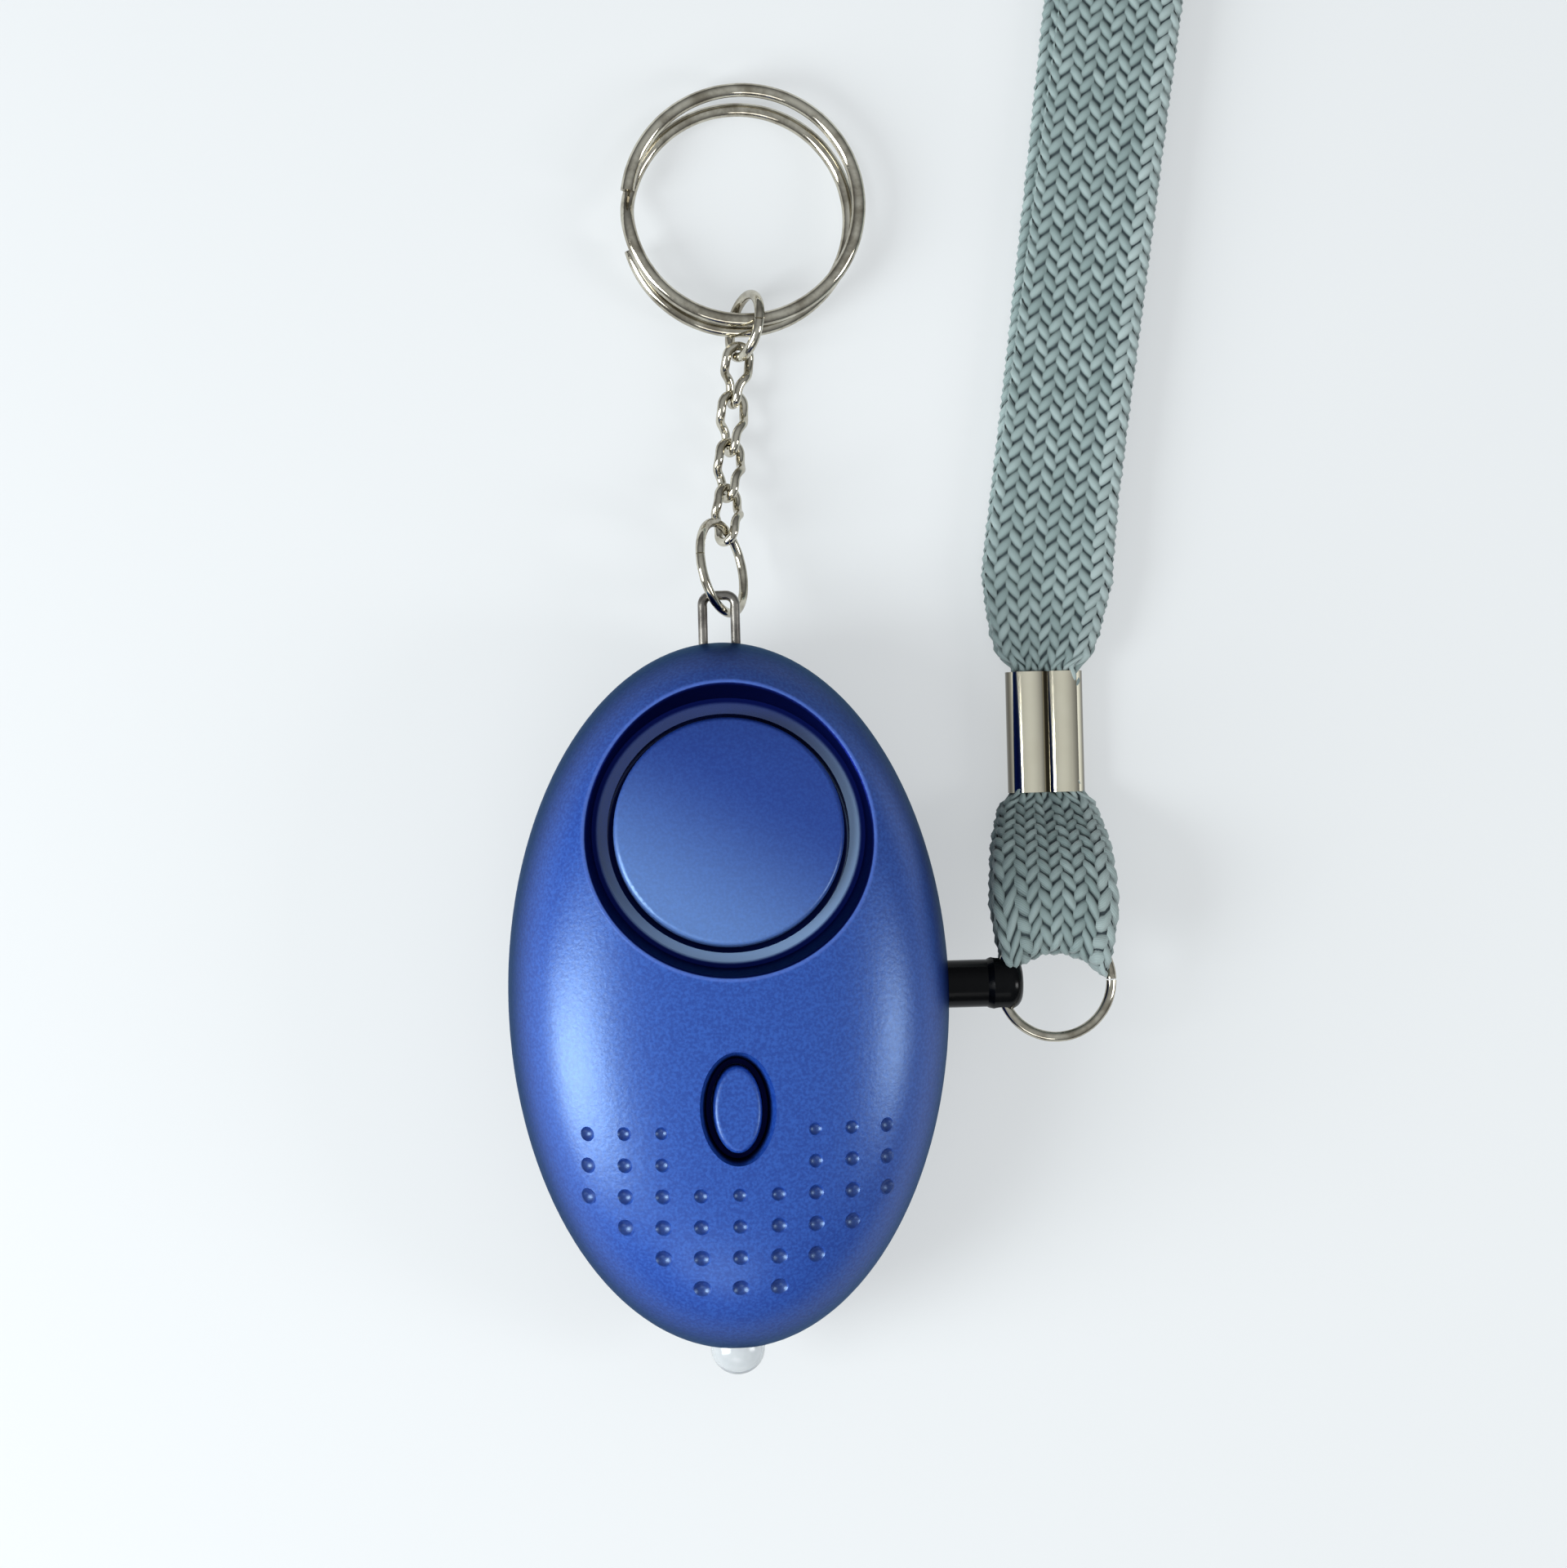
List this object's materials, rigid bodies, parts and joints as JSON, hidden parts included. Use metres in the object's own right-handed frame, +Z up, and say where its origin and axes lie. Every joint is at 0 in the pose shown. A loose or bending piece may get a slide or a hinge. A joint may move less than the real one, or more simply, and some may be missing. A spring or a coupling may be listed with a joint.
{
  "type": "personal safety alarm",
  "caption": "Palm-sized egg-shaped alarm with a domed speaker, a recessed light key, a lamp at its end, a chain with a split key ring, and a pull plug on a braided wrist loop.",
  "frame": {"origin": "middle of the flat on the back, which the alarm rests on", "axes": "+X across the body towards the pull plug, +Y along the body towards the key ring, +Z up through the front"},
  "size_m": [0.0749, 0.1922, 0.023],
  "materials": {
    "case_blue": "satin metallic blue moulding with a fine sparkle",
    "piezo_brass": "plain brass disc",
    "ceramic_white": "silvered ceramic disc",
    "wire_red": "insulated wire",
    "board_green": "glass epoxy board with green mask",
    "chip_black": "moulded black package",
    "switch_white": "pale moulded plunger",
    "parts_tan": "ceramic chip parts",
    "ferrite_grey": "grey ferrite",
    "copper": "enamelled copper winding",
    "lens_clear": "clear water white lens",
    "tinned": "tinned wire and strip",
    "socket_black": "moulded black block",
    "cell_steel": "plated steel can",
    "screw_steel": "plated steel",
    "staple_steel": "dark plated wire",
    "nickel": "bright nickel plate",
    "crimp_nickel": "mirror nickel sleeve",
    "plug_black": "gloss black moulding",
    "strap_grey": "grey tubular braid"
  },
  "bodies": {
    "case": {"front_shell": "case_blue", "back_shell": "case_blue", "speaker_cap": "case_blue", "piezo_plate": "piezo_brass", "piezo_ceramic": "ceramic_white", "piezo_leads": "wire_red", "switch_body": "chip_black", "circuit_board": "board_green", "siren_chip": "chip_black", "small_parts": "parts_tan", "coil_core": "ferrite_grey", "coil_winding": "copper", "led_lens": "lens_clear", "led_leads": "tinned", "pull_socket": "socket_black", "socket_leaves": "tinned", "cell_contact_left": "tinned", "cell_contact_right": "tinned", "button_cell_1": "cell_steel", "button_cell_2": "cell_steel", "button_cell_3": "cell_steel", "case_screw": "screw_steel", "chain_staple": "staple_steel"},
    "light_button": {"light_button": "case_blue"},
    "switch_plunger": {"switch_plunger": "switch_white"},
    "jump_ring": {"jump_ring": "nickel"},
    "chain_link_1": {"chain_link_1": "nickel"},
    "chain_link_2": {"chain_link_2": "nickel"},
    "chain_link_3": {"chain_link_3": "nickel"},
    "chain_link_4": {"chain_link_4": "nickel"},
    "ring_link": {"ring_link": "nickel"},
    "split_ring": {"split_ring": "nickel"},
    "pull_plug": {"pull_plug": "plug_black", "plug_pin": "plug_black"},
    "strap_ring": {"strap_ring": "nickel"},
    "strap": {"strap_crimp": "crimp_nickel", "strap_loop": "strap_grey", "ring_fold": "strap_grey"}
  },
  "joints": [
    {"name": "light_button_press", "type": "slide", "parent": "case", "child": "light_button", "axis": [0, 0, -1], "range_m": [0, 0.0003], "stiffness_N_per_m": 500},
    {"name": "switch_plunger_press", "type": "slide", "parent": "case", "child": "switch_plunger", "axis": [0, 0, -1], "range_m": [0, 0.0003]},
    {"name": "jump_ring_swing", "type": "hinge", "parent": "case", "child": "jump_ring", "pos_m": [0, 0.03685, 0.0095], "axis": [1, 0, 0], "range_deg": [-10, 60]},
    {"name": "chain_link_1_swing", "type": "hinge", "parent": "jump_ring", "child": "chain_link_1", "pos_m": [0.00114, 0.04298, 0.00521], "axis": [0.4719, -0.5622, -0.6792], "range_deg": [-20, 20]},
    {"name": "chain_link_2_swing", "type": "hinge", "parent": "chain_link_1", "child": "chain_link_2", "pos_m": [0.00147, 0.04718, 0.00351], "axis": [0.7785, -0.2874, -0.558], "range_deg": [-20, 20]},
    {"name": "chain_link_3_swing", "type": "hinge", "parent": "chain_link_2", "child": "chain_link_3", "pos_m": [0.00185, 0.05156, 0.00242], "axis": [0.8697, -0.1901, -0.4555], "range_deg": [-20, 20]},
    {"name": "chain_link_4_swing", "type": "hinge", "parent": "chain_link_3", "child": "chain_link_4", "pos_m": [0.00225, 0.05609, 0.00242], "axis": [0.93, -0.0814, -0.3584], "range_deg": [-20, 20]},
    {"name": "ring_link_swing", "type": "hinge", "parent": "chain_link_4", "child": "ring_link", "pos_m": [0.00287, 0.06054, 0.00305], "axis": [0.9572, -0.0958, -0.2729], "range_deg": [-30, 15]},
    {"name": "split_ring_swing", "type": "hinge", "parent": "ring_link", "child": "split_ring", "pos_m": [0.00352, 0.06278, 0.00337], "axis": [1, 0, 0], "range_deg": [-20, 20]},
    {"name": "pull_plug_draw", "type": "slide", "parent": "case", "child": "pull_plug", "axis": [1, 0, 0], "range_m": [0, 0.016]},
    {"name": "strap_ring_swing", "type": "hinge", "parent": "pull_plug", "child": "strap_ring", "pos_m": [0.0252, 0.0004, 0.0095], "axis": [0, 1, 0], "range_deg": [-25, 25]},
    {"name": "strap_lift", "type": "hinge", "parent": "strap_ring", "child": "strap", "pos_m": [0.03038, 0.00558, 0.0095], "axis": [1, 0, 0], "range_deg": [0, 60], "deforming": ["ring_fold"]}
  ],
  "couplings": [
    {"joint": "switch_plunger_press", "follows": "light_button_press", "ratio": 1}
  ]
}
